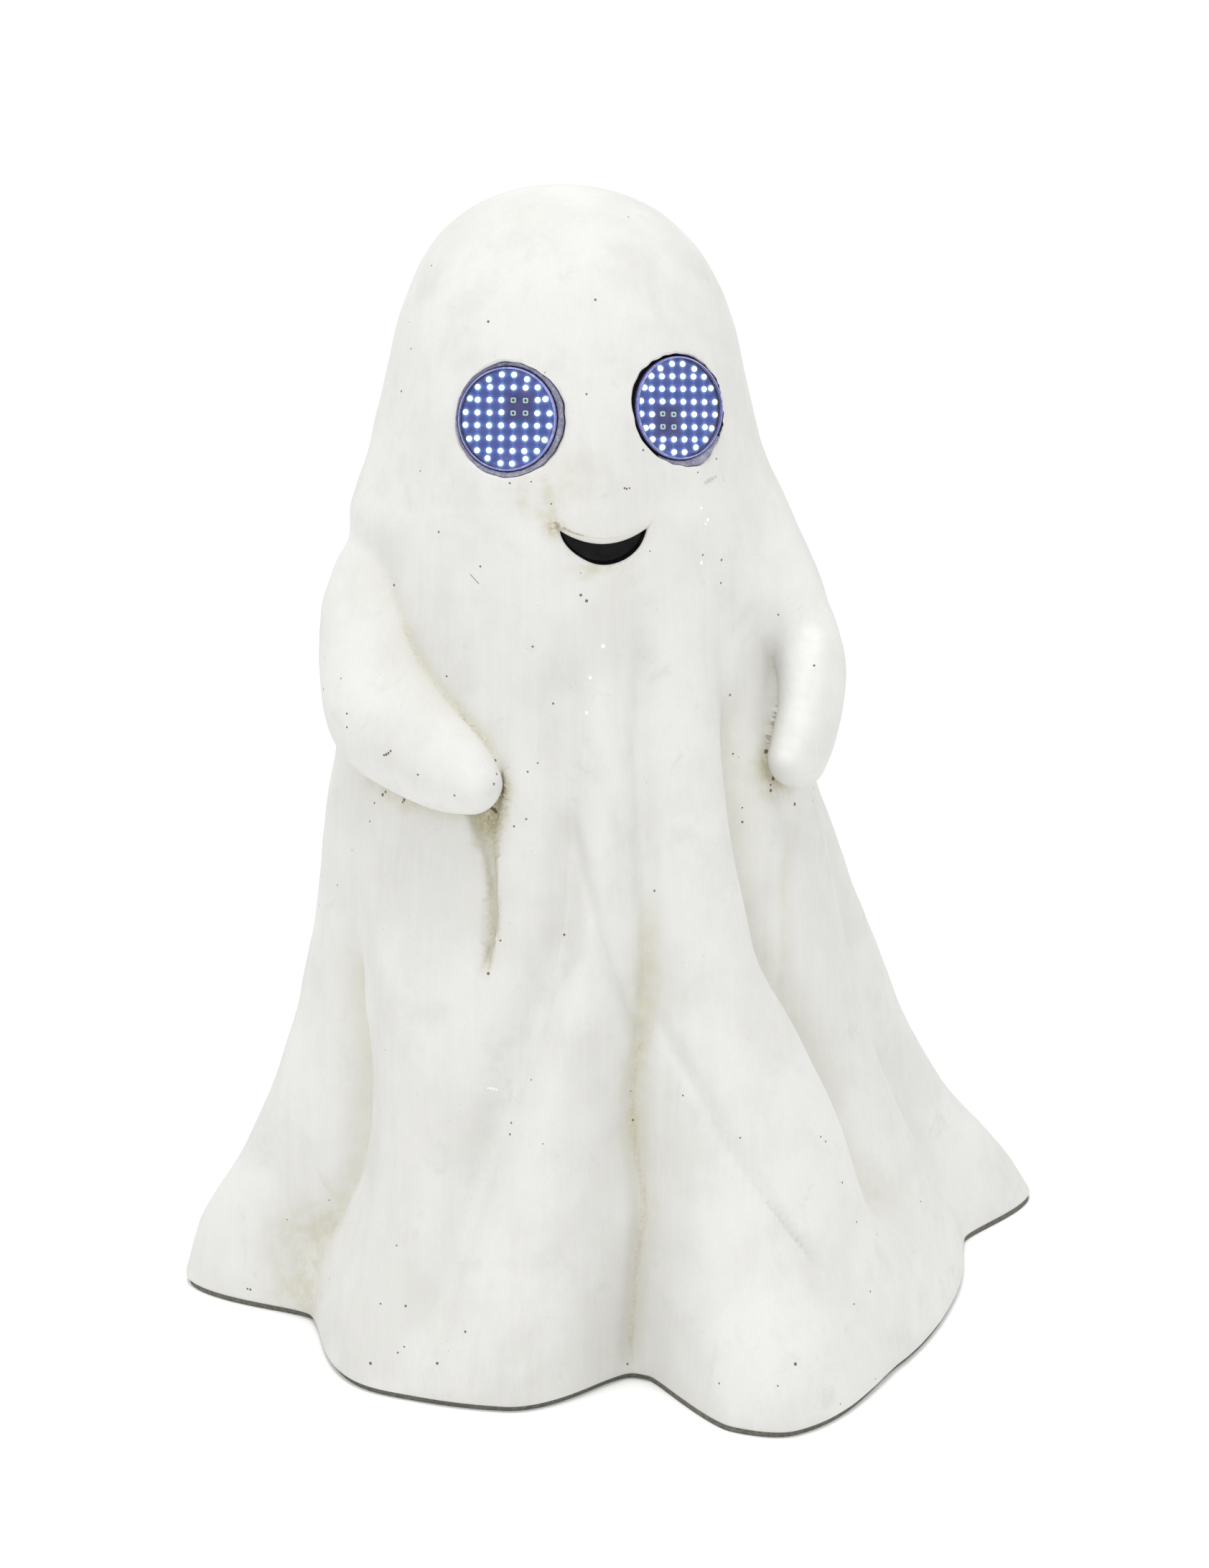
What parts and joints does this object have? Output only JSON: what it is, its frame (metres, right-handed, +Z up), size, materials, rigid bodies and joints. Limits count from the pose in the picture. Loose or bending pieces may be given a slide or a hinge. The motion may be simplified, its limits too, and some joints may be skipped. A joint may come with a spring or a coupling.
{
  "type": "ghost figure",
  "caption": "Hollow cast magnesia ghost in a draped sheet, with round LED-matrix eyes, a crescent mouth, and a battery box with a hinged door at the back.",
  "frame": {"origin": "centre of the footprint at the floor", "axes": "+Z up, the face looks along -Y, +X is to the right seen from the front"},
  "size_m": [0.3858, 0.3004, 0.476],
  "materials": {
    "magnesia": "matte cast magnesia, hand painted, olive-brown dirt in the creases, gloss black in the mouth",
    "base_plastic": "matte moulded sheet",
    "black_plastic": "fine grain",
    "eye_window": "clear, moulded",
    "led_board": "dark board with small square lamps",
    "foam": "closed-cell foam",
    "steel": "plated",
    "nickel": "nickel plated",
    "cell_jacket": "plain printed jacket, no lettering",
    "circuit_board": "solder mask",
    "lead_sleeve": "matte sleeve"
  },
  "bodies": {
    "figure": {"base_plate": "base_plastic", "base_screw_1": "steel", "base_screw_2": "steel", "base_screw_3": "steel", "base_screw_4": "steel", "base_screw_5": "steel", "base_screw_6": "steel", "base_screw_7": "steel", "battery_gasket": "foam", "battery_housing": "black_plastic", "battery_lead": "lead_sleeve", "body_shell": "magnesia", "case_screw_1": "steel", "case_screw_2": "steel", "cell_1": "cell_jacket", "cell_2": "cell_jacket", "cell_3": "cell_jacket", "contact_bridge_left": "nickel", "contact_bridge_right": "nickel", "contact_negative": "nickel", "contact_positive": "nickel", "controller_board": "circuit_board", "controller_case": "black_plastic", "eye_l_back_plate": "black_plastic", "eye_l_gasket": "foam", "eye_l_housing": "black_plastic", "eye_l_lead": "lead_sleeve", "eye_l_led_board": "led_board", "eye_l_screw_1": "steel", "eye_l_screw_2": "steel", "eye_l_screw_3": "steel", "eye_l_window": "eye_window", "eye_r_back_plate": "black_plastic", "eye_r_gasket": "foam", "eye_r_housing": "black_plastic", "eye_r_lead": "lead_sleeve", "eye_r_led_board": "led_board", "eye_r_screw_1": "steel", "eye_r_screw_2": "steel", "eye_r_screw_3": "steel", "eye_r_window": "eye_window", "flange_screw_1": "steel", "flange_screw_2": "steel", "flange_screw_3": "steel", "flange_screw_4": "steel", "hinge_pin": "steel", "switch_body": "steel"},
    "door": {"battery_door": "black_plastic"},
    "lock": {"door_screw": "steel"},
    "knob": {"switch_knob": "black_plastic"}
  },
  "joints": [
    {"name": "battery_door_hinge", "type": "hinge", "parent": "figure", "child": "door", "pos_m": [-0.06344, 0.10787, 0.15], "axis": [0, 0, 1], "range_deg": [0, 110]},
    {"name": "door_lock_turn", "type": "hinge", "parent": "door", "child": "lock", "pos_m": [0.00456, 0.10798, 0.15], "axis": [0, 1, 0], "range_deg": [0, 90]},
    {"name": "switch_slide", "type": "slide", "parent": "figure", "child": "knob", "axis": [1, 0, 0], "range_m": [0, 0.004]}
  ]
}
